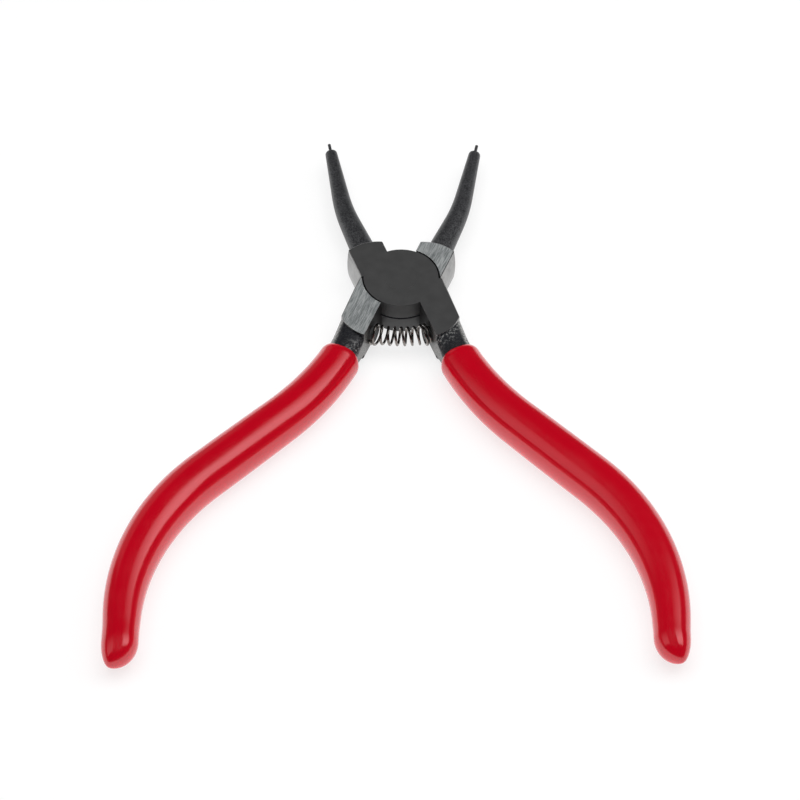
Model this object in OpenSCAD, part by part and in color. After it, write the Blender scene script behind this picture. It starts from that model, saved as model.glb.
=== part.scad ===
// Internal circlip pliers, straight jaws, dip-coated handles.
// Millimetres. The pivot runs along Z through the origin, the joint's back face lies on z = 0,
// the jaws point along +Y and the handles along -Y.
// Each lever is drawn closed, with its jaw and handle along Y, then turned out to the open stop.

/* [Joint] */
// Thickness of the joint across both half laps
joint_t = 7.5; // [6:0.1:9]
// Radius of each lever's lap disc
disc_r = 7.1; // [6.5:0.05:7.3]
// Radial clearance around a lap disc in the other lever's pocket
lap_gap = 0.25; // [0.1:0.01:0.3]
// Clearance between the two lap faces
face_gap = 0.1; // [0.06:0.01:0.2]
// Angle that each lever stands out from closed at the open stop
open_angle = 21; // [18:0.5:23]
// Clearance left between the stop faces at the open stop
stop_gap = 0.3; // [0.1:0.05:0.4]

/* [Jaws] */
// Width of the shoulder, from the closing line to the ridge of its forged outer side
shoulder_w = 7.35; // [7:0.05:8]
// Radius of the shoulder's forged outer side, across the thickness
shoulder_side_r = 18; // [12:1:40]
// Distance from the pivot to the crown of the shoulder
shoulder_top = 10.6; // [10:0.1:12]
// Radius of the shoulder's crown
shoulder_crown_r = 8; // [6:0.1:12]
// Relief of the shoulder from the closing line
closing_relief = 0.15; // [0.1:0.05:0.3]
// Distance of the jaw's axis from the closing line
jaw_offset = 3.25; // [3:0.05:3.6]
// Diameter of the jaw at its root, inside the shoulder
jaw_root_d = 5.2; // [4.6:0.1:5.6]
// Diameter of the jaw at its tip
jaw_tip_d = 2.3; // [1.8:0.05:2.6]
// Straight length of the jaw before its bend, from the pivot
jaw_bend_start = 19.3; // [17:0.1:21]
// Radius of the jaw's bend
jaw_bend_r = 40; // [30:1:50]
// Angle of the jaw's bend towards the closing line
jaw_bend = 10.6; // [9:0.1:11]
// Straight length of the jaw after its bend
jaw_nose = 12; // [11:0.1:14]
// Rounding of the jaw's tip
jaw_tip_round = 0.35; // [0.2:0.05:0.6]

/* [Tip pins] */
// Diameter of the tip pin
tip_d = 0.6; // [0.5:0.05:1]
// Length of the tip pin that stands out of the jaw
tip_reach = 2.3; // [1.5:0.1:2.5]
// Diameter of the tip pin's shank inside the jaw
tip_shank_d = 1; // [0.8:0.05:1.2]
// Length of the tip pin's shank inside the jaw
tip_seat = 4; // [3:0.5:6]
// Chamfer on the tip pin's free end
tip_chamfer = 0.1; // [0.05:0.01:0.2]
// Radial clearance of the tip pin's shank in its hole
tip_gap = 0.01; // [0.005:0.005:0.02]

/* [Rivet] */
// Diameter of the rivet's shank
rivet_d = 4.4; // [3.5:0.1:5]
// Diameter of the rivet's countersunk heads
rivet_head_d = 6; // [5.5:0.1:7]
// Depth of the rivet's countersunk heads
rivet_head_t = 1.1; // [0.8:0.1:1.5]
// Running clearance around the rivet
rivet_gap = 0.03; // [0.02:0.005:0.08]

/* [Handle tang] */
// Distance of the leg's spring face from the closing line
leg_in = 1.15; // [0.9:0.05:1.4]
// Rounding of the spring face's edge at the back of the pliers
leg_in_round = 1.3; // [0.4:0.1:1.4]
// Distance of the leg's outer face from the closing line, beside the disc
leg_out = 7.45; // [7:0.05:8]
// Taper of the leg's outer face
leg_taper = 2.5; // [0:0.5:4]
// Distance from the pivot to the end of the ground face
leg_end = 15.8; // [15:0.1:17]
// Radius that rounds off the ground face at the outer edge
leg_end_r = 7.2; // [6.5:0.1:8]
// Distance of the tang's axis from the closing line at its root
tang_offset = 4; // [3.7:0.05:4.3]
// Width of the tang where it leaves the ground face
tang_root_w = 6.3; // [5.6:0.1:6.6]
// Step of the tang's top below the ground face
tang_step = 0.25; // [0.1:0.05:0.6]
// Where the outward bend of the handle starts, from the pivot
bend_start = 15.4; // [15:0.1:16]
// Radius of the handle's outward bend
out_bend_r = 54; // [46:1:62]
// Angle of the handle's outward bend
out_bend = 24.5; // [20:0.5:27]
// Straight run of the handle between its bends
run_len = 18.6; // [15:0.2:24]
// Radius of the handle's inward bend
in_bend_r = 44; // [38:1:50]
// Angle of the handle's inward bend
in_bend = 45.5; // [40:0.5:50]
// Straight tail of the tang after its inward bend
tail_len = 8.2; // [7:0.1:14]

/* [Grips] */
// Distance along the handle from the tang's root to the grip's rim
rim_at = 8; // [6:0.1:9]
// Distance along the handle from the tang's root to the grip's belly
belly_at = 45.5; // [36:0.5:56]
// Diameter of the grip near its rim
rim_d = 7.9; // [7.4:0.1:8.4]
// Length over which the rim rounds off onto the tang
rim_round = 1.6; // [1:0.1:2.5]
// Diameter of the grip at its belly
belly_d = 8.9; // [8.6:0.1:9.6]
// Diameter of the grip near its end
tail_d = 6.6; // [6.2:0.1:7.4]
// Thickness of the dipped coating
coat = 0.95; // [0.7:0.05:1.2]
// Thickness of the coating that ran down over the left tang's end
left_end_coat = 2.8; // [0.8:0.1:3.5]
// Thickness of the coating that ran down over the right tang's end
right_end_coat = 0.8; // [0.8:0.1:3.5]
// Length of the grip's rounded end
nose_len = 5.2; // [3.2:0.1:6]
// Lean of the rounded end towards the outer side
nose_lean = 1.4; // [0:0.1:2]
// Clearance between the tang and the coating
coat_gap = 0.03; // [0.02:0.01:0.05]

/* [Return spring] */
// Outside diameter of the spring
spring_od = 3.8; // [3.4:0.1:4.2]
// Outside diameter of the spring's end turns
spring_end_od = 4.4; // [4:0.1:4.8]
// Diameter of the spring's wire
wire_d = 0.5; // [0.4:0.05:0.55]
// Number of turns of the spring
spring_turns = 9; // [7:1:10]
// Distance from the pivot to the spring's seats, along the leg
spring_at = 12.2; // [11.8:0.1:12.6]
// Drop of the spring's middle below the line between its seats
spring_bow = 0.55; // [0.3:0.05:1]
// Clearance between the spring and the face and peg that hold it
seat_gap = 0.1; // [0.06:0.02:0.2]

/* [Spring pegs] */
// Height of the peg's head above the leg
peg_head_t = 0.9; // [0.7:0.05:1.1]
// Chamfer around the peg's head
peg_chamfer = 0.25; // [0.1:0.05:0.4]
// Diameter of the peg's shank in the leg
peg_d = 1.8; // [1.4:0.1:2.2]
// Depth of the peg's shank in the leg
peg_depth = 2.8; // [2:0.1:3.4]
// Radial clearance of the peg's shank in its hole
peg_gap = 0.01; // [0.005:0.005:0.02]

/* [Hidden] */
$fn = 96;

half_t = joint_t / 2;
cut = 1; // overshoot of a cutting solid past the face that it cuts

// Number of points around a jaw, a tang or a grip
sides = 24;
// Number of points around the spring's wire, and of rings in one turn of it
wire_sides = 8;
turn_rings = 18;
// Pitch of the spring's closed end turns
end_pitch = wire_d * 1.1;
// Largest distance between the rings of a jaw or a handle
jaw_step = 2;
handle_step = 3;
// Number of rings in a rounded end
nose_rings = 5;
// Angle at which a rounded end is cut off flat
nose_sweep = 82;
// Squareness of a section: 1 is an ellipse and 0.5 is nearly a box
tang_root_square = 0.5;
tang_square = 0.72;
grip_square = 0.94;

black_oxide = "#2b2b2d";
ground_steel = "#8b8e90";
dark_face = "#434344";
red_dip = "#b5001b";

// Paths. A station is [x, y, heading, distance walked]: heading 0 runs along +Y and turns towards +X.

function bend_len(r, angle) = r * abs(angle) * PI / 180;

function station(from, length, sweep, distance) =
    let (h = from[2], turn = sweep * distance / length, r = sweep == 0 ? 0 : length / (sweep * PI / 180))
    sweep == 0
        ? [from[0] + distance * sin(h), from[1] + distance * cos(h), h, from[3] + distance]
        : [from[0] + r * (cos(h) - cos(h + turn)), from[1] + r * (sin(h + turn) - sin(h)),
           h + turn, from[3] + distance];

// The station at a distance along moves, each [length, sweep]
function along(from, moves, distance, i = 0) =
    distance <= moves[i][0] || i == len(moves) - 1
        ? station(from, moves[i][0], moves[i][1], distance)
        : along(station(from, moves[i][0], moves[i][1], moves[i][0]), moves, distance - moves[i][0], i + 1);

function total(moves, i = 0) = i == len(moves) ? 0 : moves[i][0] + total(moves, i + 1);

// Distances from a to b in equal steps that are no longer than step
function spaced(a, b, step) = let (n = ceil((b - a) / step)) [for (i = [0:n]) a + (b - a) * i / n];

function squared(v, square) = sign(v) * pow(abs(v), square);

// A ring of points across a path, with half width in the plane and half thickness along Z
function ring(at, half_w, half_z, square = 1) =
    [for (i = [0:sides - 1])
        let (a = 360 * i / sides, w = half_w * squared(cos(a), square))
        [at[0] + w * cos(at[2]), at[1] - w * sin(at[2]), half_z * squared(sin(a), square)]];

// A closed solid through rings that all have the same number of points
module skin(rings) {
    n = len(rings[0]);
    last = (len(rings) - 1) * n;
    polyhedron(
        points = [for (r = rings) each r],
        faces = concat(
            [[for (i = [n - 1:-1:0]) i]],
            [for (k = [0:n:last - n], i = [0:n - 1])
                let (j = (i + 1) % n) each [[k + i, k + j, k + n + j], [k + i, k + n + j, k + n + i]]],
            [[for (i = [0:n - 1]) last + i]]
        ),
        convexity = 10
    );
}

// Jaw

jaw_start = disc_r + lap_gap + closing_relief;
jaw_from = [-jaw_offset, jaw_start, 0, 0];
jaw_moves = [[jaw_bend_start - jaw_start, 0], [bend_len(jaw_bend_r, jaw_bend), jaw_bend], [jaw_nose, 0]];
jaw_len = total(jaw_moves);

function jaw_r(s) = (jaw_root_d + (jaw_tip_d - jaw_root_d) * s / jaw_len) / 2;

module jaw() {
    body = [for (s = spaced(0, jaw_len - jaw_tip_round, jaw_step)) [s, jaw_r(s)]];
    tip = [for (i = [1:nose_rings])
        let (a = 90 * i / nose_rings)
        [jaw_len - jaw_tip_round * (1 - sin(a)), jaw_r(jaw_len) - jaw_tip_round * (1 - cos(a))]];
    skin([for (p = concat(body, tip)) ring(along(jaw_from, jaw_moves, p[0]), p[1], p[1])]);
}

// Turns children from +Z onto the jaw's axis at its tip
module at_jaw_tip() {
    tip = along(jaw_from, jaw_moves, jaw_len);
    translate([tip[0], tip[1], 0]) rotate([-90, 0, -tip[2]]) children();
}

module tip_pin() {
    color(black_oxide) at_jaw_tip() {
        translate([0, 0, -tip_seat]) cylinder(d = tip_shank_d, h = tip_seat);
        cylinder(d = tip_d, h = tip_reach - tip_chamfer);
        translate([0, 0, tip_reach - tip_chamfer])
            cylinder(d1 = tip_d, d2 = tip_d - 2 * tip_chamfer, h = tip_chamfer);
    }
}

// Joint

// Half plane on the jaw's or the leg's side of the stop line, which is level at the open stop
module beyond_stop(side) {
    reach = 4 * shoulder_top;
    rotate(-open_angle) translate([-reach / 2, side > 0 ? stop_gap / 2 : -stop_gap / 2 - reach])
        square(reach);
}

module shoulder_outline() {
    intersection() {
        translate([-shoulder_w, 0]) square([shoulder_w - closing_relief, shoulder_top]);
        translate([-shoulder_w / 2, shoulder_top - shoulder_crown_r]) circle(r = shoulder_crown_r);
        beyond_stop(1);
    }
}

// The shoulder's faces and crown are ground, and its outer side keeps the convex forging
module shoulder() {
    intersection() {
        translate([0, 0, -half_t]) linear_extrude(joint_t) shoulder_outline();
        translate([shoulder_side_r - shoulder_w, 0, 0]) rotate([-90, 0, 0])
            cylinder(r = shoulder_side_r, h = shoulder_top);
    }
}

module leg_outline() {
    intersection() {
        polygon([[leg_in, 0], [leg_in, -leg_end],
                 [leg_out - leg_end * tan(leg_taper), -leg_end], [leg_out, 0]]);
        union() {
            translate([leg_in, leg_end_r - leg_end]) circle(r = leg_end_r);
            translate([leg_in, leg_end_r - leg_end]) square([leg_out, leg_end]);
        }
        beyond_stop(-1);
    }
}

// The leg, with its spring face rounded off at the back, which is up or down in the lever's own frame
module leg(back) {
    r = leg_in_round;
    difference() {
        translate([0, 0, -half_t]) linear_extrude(joint_t) leg_outline();
        mirror([0, 0, back > 0 ? 0 : 1]) rotate([90, 0, 0]) linear_extrude(leg_end + cut) difference() {
            translate([leg_in - cut, half_t - r]) square(r + cut);
            translate([leg_in + r, half_t - r]) circle(r);
        }
    }
}

module rivet_form(gap) {
    r = rivet_d / 2 + gap;
    head_r = rivet_head_d / 2 + gap;
    translate([0, 0, -half_t]) cylinder(r = r, h = joint_t);
    for (flip = [0, 180])
        rotate([flip, 0, 0]) translate([0, 0, half_t - rivet_head_t])
            cylinder(r1 = r, r2 = head_r, h = rivet_head_t);
}

module joint_rivet() {
    color(dark_face) translate([0, 0, half_t]) rivet_form(0);
}

// Handle

tang_start = bend_start - rim_at / 2;
tang_from = [tang_offset, tang_start, 0, 0];
handle_moves = [
    [bend_start - tang_start, 0],
    [bend_len(out_bend_r, out_bend), out_bend],
    [run_len, 0],
    [bend_len(in_bend_r, in_bend), -in_bend],
    [tail_len, 0]
];
tang_len = total(handle_moves);

// Smooth step from 0 to 1
function ease(k) = (1 - cos(180 * min(max(k, 0), 1))) / 2;

// The grip swells from its rim to its belly and thins again to its tail
function grip_r(s) =
    let (end = s < belly_at ? rim_at : tang_len - nose_len, end_d = s < belly_at ? rim_d : tail_d,
         k = min(1, (belly_at - s) / (belly_at - end)))
    (end_d + (belly_d - end_d) * cos(90 * k)) / 2;

// Half width and half thickness of the tang, which blends from the ground leg into the coated bar
function blend(root, s) = root + (grip_r(s) - coat - root) * ease(s / rim_at);
function tang_w(s) = blend(tang_root_w / 2, s);
function tang_z(s) = blend(half_t - tang_step, s);
function tang_sq(s) = tang_root_square + (tang_square - tang_root_square) * ease(s / rim_at);

// Places along a rounded end: [distance, factor on the section, lean]
function nose(end, length) =
    [for (i = [1:nose_rings])
        let (a = nose_sweep * i / nose_rings)
        [end - length * (1 - sin(a)), cos(a), nose_lean * (1 - cos(a))]];

// Places along a handle up to its rounded end
function places(from, end, length) =
    concat([for (s = spaced(from, end - length, handle_step)) [s, 1, 0]], nose(end, length));

function handle_ring(s, half_w, half_z, square, lean = 0) =
    let (at = along(tang_from, handle_moves, s))
    ring([at[0] + lean * cos(at[2]), at[1] - lean * sin(at[2]), at[2]], half_w, half_z, square);

function tang_rings(from, gap) =
    [for (p = places(from, tang_len + gap, nose_len - coat))
        handle_ring(p[0], (tang_w(p[0]) + gap) * p[1], (tang_z(p[0]) + gap) * p[1], tang_sq(p[0]), p[2])];

// The tang's inner side is ground in one plane with the leg's spring face, until the tang bends out of it
module tang() {
    difference() {
        mirror([0, 1, 0]) skin(tang_rings(0, 0));
        translate([leg_in - tang_root_w, -leg_end - rim_at, -joint_t])
            cube([tang_root_w, leg_end + rim_at, 2 * joint_t]);
    }
}

// Turns children from +Z onto the spring's seat, pointing out of the leg
module at_spring_seat() {
    translate([leg_in, -spring_at, 0]) rotate([0, -90, 0]) children();
}

module spring_peg() {
    head_d = spring_end_od - 2 * wire_d - 2 * seat_gap;
    color(ground_steel) at_spring_seat() {
        translate([0, 0, -peg_depth]) cylinder(d = peg_d, h = peg_depth);
        cylinder(d = head_d, h = peg_head_t - peg_chamfer);
        translate([0, 0, peg_head_t - peg_chamfer])
            cylinder(d1 = head_d, d2 = head_d - 2 * peg_chamfer, h = peg_chamfer);
    }
}

// One lever, closed, with its lap disc in the upper half and z = 0 in the lap plane.
// The pliers' back is up (1) or down (-1) in this frame.
module lever(back) {
    difference() {
        union() {
            difference() {
                union() {
                    shoulder();
                    leg(back);
                    jaw();
                    tang();
                }
                translate([0, 0, -half_t - cut])
                    cylinder(r = disc_r + lap_gap, h = half_t + cut + face_gap / 2);
            }
            translate([0, 0, face_gap / 2]) cylinder(r = disc_r, h = half_t - face_gap / 2);
        }
        rivet_form(rivet_gap);
        at_spring_seat() translate([0, 0, -peg_depth])
            cylinder(r = peg_d / 2 + peg_gap, h = peg_depth + cut);
        at_jaw_tip() translate([0, 0, -tip_seat])
            cylinder(r = tip_shank_d / 2 + tip_gap, h = tip_seat + cut);
    }
}

// The dipped coating: inside from the tang's end to the rim, over the rim, and outside to the rounded end
module grip(end_coat) {
    inner = tang_rings(rim_at, coat_gap);
    rim_w = tang_w(rim_at) + coat_gap;
    rim_z = tang_z(rim_at) + coat_gap;
    outer_from = rim_at + rim_round;
    rim = [for (i = [1:nose_rings - 1])
        let (a = 90 * i / nose_rings, k = sin(a), r = grip_r(outer_from))
        handle_ring(outer_from - rim_round * cos(a), rim_w + (r - rim_w) * k, rim_z + (r - rim_z) * k,
                    tang_square + (grip_square - tang_square) * k)];
    outer = [for (p = places(outer_from, tang_len + end_coat, nose_len))
        let (r = grip_r(p[0]) * p[1]) handle_ring(p[0], r, r, grip_square, p[2])];
    color(red_dip) mirror([0, 1, 0])
        skin(concat([for (i = [len(inner) - 1:-1:0]) inner[i]], rim, outer));
}

// Spring, in the open position: bowed between the two legs, with its end turns flat on them

seat_x = leg_in * cos(open_angle) + spring_at * sin(open_angle);
seat_y = leg_in * sin(open_angle) - spring_at * cos(open_angle);
// Half the chord of the spring's axis, which stops short of the legs by half a wire and the clearance
spring_chord = seat_x - (wire_d / 2 + seat_gap) / cos(open_angle);
spring_bow_r = (pow(spring_chord, 2) + pow(spring_bow, 2)) / (2 * spring_bow);
spring_sweep = 2 * asin(spring_chord / spring_bow_r);
spring_len = bend_len(spring_bow_r, spring_sweep);
spring_from = [-spring_chord, seat_y, 90 + spring_sweep / 2, 0];

// Distance along the spring after some turns: the end turns are closed and the others are even
function advance(turn) =
    turn < 1 ? turn * end_pitch
    : turn > spring_turns - 1 ? spring_len - (spring_turns - turn) * end_pitch
    : end_pitch + (turn - 1) * (spring_len - 2 * end_pitch) / (spring_turns - 2);

// Radius of the wire's centre line: the end turns are wider, to fit around the pegs
function coil_r(turn) =
    let (to_end = min(turn, spring_turns - turn))
    (spring_end_od + (spring_od - spring_end_od) * ease(to_end - 1) - wire_d) / 2;

// The turns fan out, so that the end turns lie along the legs
function wire_ring(turn) =
    let (s = advance(turn), at = station(spring_from, spring_len, -spring_sweep, s),
         fan = 90 + open_angle * (1 - 2 * s / spring_len), a = -360 * turn,
         out = [cos(a) * cos(fan), -cos(a) * sin(fan), sin(a)], ahead = [sin(fan), cos(fan), 0],
         centre = [at[0], at[1], 0] + coil_r(turn) * out)
    [for (i = [0:wire_sides - 1])
        let (b = 360 * i / wire_sides) centre + wire_d / 2 * (cos(b) * out + sin(b) * ahead)];

module return_spring() {
    color(black_oxide) translate([0, 0, half_t])
        skin([for (i = [0:spring_turns * turn_rings]) wire_ring(i / turn_rings)]);
}

// Places. The front half carries the left jaw and the right handle, and the rear half is turned over.

module front_half() {
    translate([0, 0, half_t]) rotate([0, 0, open_angle]) children();
}

module rear_half() {
    translate([0, 0, half_t]) rotate([0, 180, 0]) rotate([0, 0, open_angle]) children();
}

module front_lever() { color(dark_face) front_half() lever(-1); }
module rear_lever() { color(ground_steel) rear_half() lever(1); }
module left_spring_peg() { rear_half() spring_peg(); }
module right_spring_peg() { front_half() spring_peg(); }
module left_grip() { rear_half() grip(left_end_coat); }
module right_grip() { front_half() grip(right_end_coat); }
module left_tip_pin() { front_half() tip_pin(); }
module right_tip_pin() { rear_half() tip_pin(); }

front_lever();
rear_lever();
joint_rivet();
return_spring();
left_spring_peg();
right_spring_peg();
left_grip();
right_grip();
left_tip_pin();
right_tip_pin();
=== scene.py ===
import math
from functools import partial

import bmesh
import bpy
from mathutils import Matrix, Vector


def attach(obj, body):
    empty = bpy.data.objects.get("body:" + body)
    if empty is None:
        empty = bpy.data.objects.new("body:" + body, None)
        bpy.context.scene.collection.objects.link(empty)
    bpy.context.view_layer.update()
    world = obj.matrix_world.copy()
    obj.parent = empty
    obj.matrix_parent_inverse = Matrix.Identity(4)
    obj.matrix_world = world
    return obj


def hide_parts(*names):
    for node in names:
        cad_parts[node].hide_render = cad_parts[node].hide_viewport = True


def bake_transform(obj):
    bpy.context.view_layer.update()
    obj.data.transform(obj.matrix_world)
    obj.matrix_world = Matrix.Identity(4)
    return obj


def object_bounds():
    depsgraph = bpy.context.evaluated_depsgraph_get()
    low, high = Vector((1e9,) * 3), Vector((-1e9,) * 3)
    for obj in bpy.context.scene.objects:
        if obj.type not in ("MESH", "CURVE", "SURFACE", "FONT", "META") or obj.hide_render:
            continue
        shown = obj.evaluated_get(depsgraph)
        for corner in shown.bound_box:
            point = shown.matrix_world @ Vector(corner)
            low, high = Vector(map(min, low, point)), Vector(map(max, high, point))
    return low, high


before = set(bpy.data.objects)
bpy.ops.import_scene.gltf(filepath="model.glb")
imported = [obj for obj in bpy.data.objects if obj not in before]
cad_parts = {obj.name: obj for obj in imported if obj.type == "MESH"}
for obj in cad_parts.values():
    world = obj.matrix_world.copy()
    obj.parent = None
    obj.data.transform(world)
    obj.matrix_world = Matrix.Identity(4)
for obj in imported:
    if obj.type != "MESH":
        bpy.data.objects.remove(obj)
cadBox = [list(corner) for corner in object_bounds()]
scene = bpy.context.scene
mm = 0.001
seam = 0.002 * mm  # points closer than this are one
print("frame loaded:", sorted(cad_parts))


# Node helpers

def addNode(tree, kind, inputs=None, **settings):
    node = tree.nodes.new(kind)
    for key, value in settings.items():
        setattr(node, key, value)
    for key, value in (inputs or {}).items():
        if isinstance(value, bpy.types.NodeSocket):
            tree.links.new(value, node.inputs[key])
        else:
            node.inputs[key].default_value = value
    return node


def calc(tree, operation, *values):
    return addNode(tree, "ShaderNodeMath", dict(enumerate(values)), operation=operation).outputs[0]


def geometryTree(name, inputs):
    tree = bpy.data.node_groups.new(name, "GeometryNodeTree")
    for label, kind in inputs:
        tree.interface.new_socket(label, in_out="INPUT", socket_type=kind)
    tree.interface.new_socket("Geometry", in_out="OUTPUT", socket_type="NodeSocketGeometry")
    return tree, tree.nodes.new("NodeGroupInput").outputs


def endTree(tree, geometry, material):
    smooth = addNode(tree, "GeometryNodeSetShadeSmooth", {"Geometry": geometry})
    plain = addNode(tree, "GeometryNodeRealizeInstances", {"Geometry": smooth.outputs[0]})
    dressed = addNode(tree, "GeometryNodeSetMaterial", {
        "Geometry": plain.outputs[0], "Material": material})
    out = tree.nodes.new("NodeGroupOutput")
    tree.links.new(dressed.outputs[0], out.inputs[0])


def runTree(obj, tree, values):
    modifier = obj.modifiers.new("shape", "NODES")
    modifier.node_group = tree
    ids = {item.name: item.identifier for item in tree.interface.items_tree if item.in_out == "INPUT"}
    for label, value in values.items():
        modifier[ids[label]] = value
    settle(obj)


# Turns what the modifiers give into the object's plain mesh
def settle(obj):
    bpy.context.view_layer.update()
    result = obj.evaluated_get(bpy.context.evaluated_depsgraph_get())
    mesh = bpy.data.meshes.new_from_object(result)
    obj.modifiers.clear()
    obj.data = mesh
    mesh.name = obj.name


def newObject(name, data):
    obj = bpy.data.objects.new(name, data)
    scene.collection.objects.link(obj)
    return obj


def meshFrom(work, name, *finishes):
    bmesh.ops.recalc_face_normals(work, faces=work.faces)
    mesh = bpy.data.meshes.new(name)
    work.to_mesh(mesh)
    work.free()
    for finish in finishes:
        mesh.materials.append(finish)
    return newObject(name, mesh)


def closeUp(mesh):
    work = bmesh.new()
    work.from_mesh(mesh)
    bmesh.ops.remove_doubles(work, verts=work.verts, dist=seam)
    bmesh.ops.recalc_face_normals(work, faces=work.faces)
    work.to_mesh(mesh)
    work.free()


def smoothBelow(mesh, angle):
    mesh.shade_smooth()
    mesh.set_sharp_from_angle(angle=math.radians(angle))


# Materials

def newMaterial(name, roughness, **sockets):
    material = bpy.data.materials.new(name)
    material.use_nodes = True
    tree = material.node_tree
    shader = tree.nodes["Principled BSDF"]
    shader.inputs["Roughness"].default_value = roughness
    for key, value in sockets.items():
        shader.inputs[key].default_value = value
    place = tree.nodes.new("ShaderNodeTexCoord").outputs["Object"]
    return material, tree, shader, place


# Noise, drawn out along the axes by stretch and turned in plan, where these are given
def grain(tree, place, scale, detail=3, stretch=None, turn=0):
    if stretch:
        place = addNode(tree, "ShaderNodeMapping", {
            "Vector": place, "Scale": stretch, "Rotation": (0, 0, math.radians(turn))},
            vector_type="TEXTURE").outputs[0]
    noise = addNode(tree, "ShaderNodeTexNoise", {"Vector": place, "Scale": scale, "Detail": detail})
    return noise.outputs[0]


def ramp(tree, value, low, high, start=0.3, end=0.7):
    return addNode(tree, "ShaderNodeMapRange", {
        "Value": value, "From Min": start, "From Max": end, "To Min": low, "To Max": high}).outputs[0]


def mixValues(tree, a, b, share):
    return calc(tree, "MULTIPLY_ADD", a, share, calc(tree, "MULTIPLY", b, 1 - share))


def mixColours(tree, factor, a, b):
    node = addNode(tree, "ShaderNodeMix", {"Factor": factor}, data_type="RGBA")
    for key, value in (("A", a), ("B", b)):
        if isinstance(value, bpy.types.NodeSocket):
            tree.links.new(value, node.inputs[key])
        else:
            node.inputs[key].default_value = (*value, 1)
    return node.outputs["Result"]


def tint(tree, value, low, high, start=0.3, end=0.7):
    return mixColours(tree, ramp(tree, value, 0, 1, start, end), low, high)


def bump(tree, shader, height, depth):
    node = addNode(tree, "ShaderNodeBump", {"Height": height, "Distance": depth, "Strength": 1})
    tree.links.new(node.outputs[0], shader.inputs["Normal"])


def inMetres(lengths):
    return [length * mm for length in lengths]


# Distance in plan from a point given in millimetres, in metres
def planDistance(tree, place, x, y):
    flat = addNode(tree, "ShaderNodeVectorMath", {0: place, 1: (1, 1, 0)}, operation="MULTIPLY").outputs[0]
    gap = addNode(tree, "ShaderNodeVectorMath", {0: flat, 1: (x * mm, y * mm, 0)}, operation="DISTANCE")
    return gap.outputs["Value"]


redDip = {"tones": ((0.49, 0.0, 0.0095), (0.53, 0.0, 0.0105)), "ior": 1.95, "sheen": (1.0, 0.56, 0.58),
          "roughness": (0.13, 0.2), "cloud": 55, "peel": 300, "peelDepth": 0.006}


def makeRedDip():
    r = redDip
    material, tree, shader, place = newMaterial("redDip", r["roughness"][0], IOR=r["ior"])
    shader.inputs["Specular Tint"].default_value = (*r["sheen"], 1)
    cloud = grain(tree, place, r["cloud"], 2)
    tree.links.new(tint(tree, cloud, *r["tones"]), shader.inputs["Base Color"])
    peel = grain(tree, place, r["peel"], 2)
    tree.links.new(ramp(tree, peel, *r["roughness"]), shader.inputs["Roughness"])
    bump(tree, shader, peel, r["peelDepth"] * mm)
    return material


# Forged skin with black oxide, darker on the tangs than on the jaws. On a tang the side that faces out is
# made pale:
# partly a rubbed-bare edge, partly a painted highlight where that side catches the light. Specks around a
# spot are
# rubbed bare too: below the rounded end of the front leg's face, and beside the left grip's rim. They thin
# out over fade, a distance from the spot. Out points outwards across the leg.
blackOxide = {"jawTones": ((0.012, 0.0125, 0.015), (0.077, 0.0775, 0.081)), "jawSpan": (0.39, 0.61),
              "tangTones": ((0.005, 0.0055, 0.008), (0.017, 0.0175, 0.022)), "tangSpan": (0.38, 0.62),
              "tangFrom": (13, 15), "bare": (0.42, 0.42, 0.41), "metallic": 0.3, "roughness": (0.36, 0.52),
              "mottle": 700, "mottleShare": 0.18, "mottleHeight": 0.3, "pits": 4200, "pitDepth": 0.04,
              "edge": {"out": (0.934, 0.358), "outSpan": (0.3, 0.6), "wear": 2600, "share": (0.25, 0.95),
                       "wearSpan": (0.37, 0.63)},
              "dust": 6000, "dustShare": 0.1, "dustSpan": (0.5, 0.68),
              "speckle": 2300, "speckleSpan": (0.5, 0.62),
              "specks": {"front": {"spot": (4.156, -7.617), "fade": (7.3, 10.2), "share": 0.6},
                         "rear": {"spot": (-8.3, -17.0), "fade": (0.4, 3.0), "share": 0.5}}}


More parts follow.
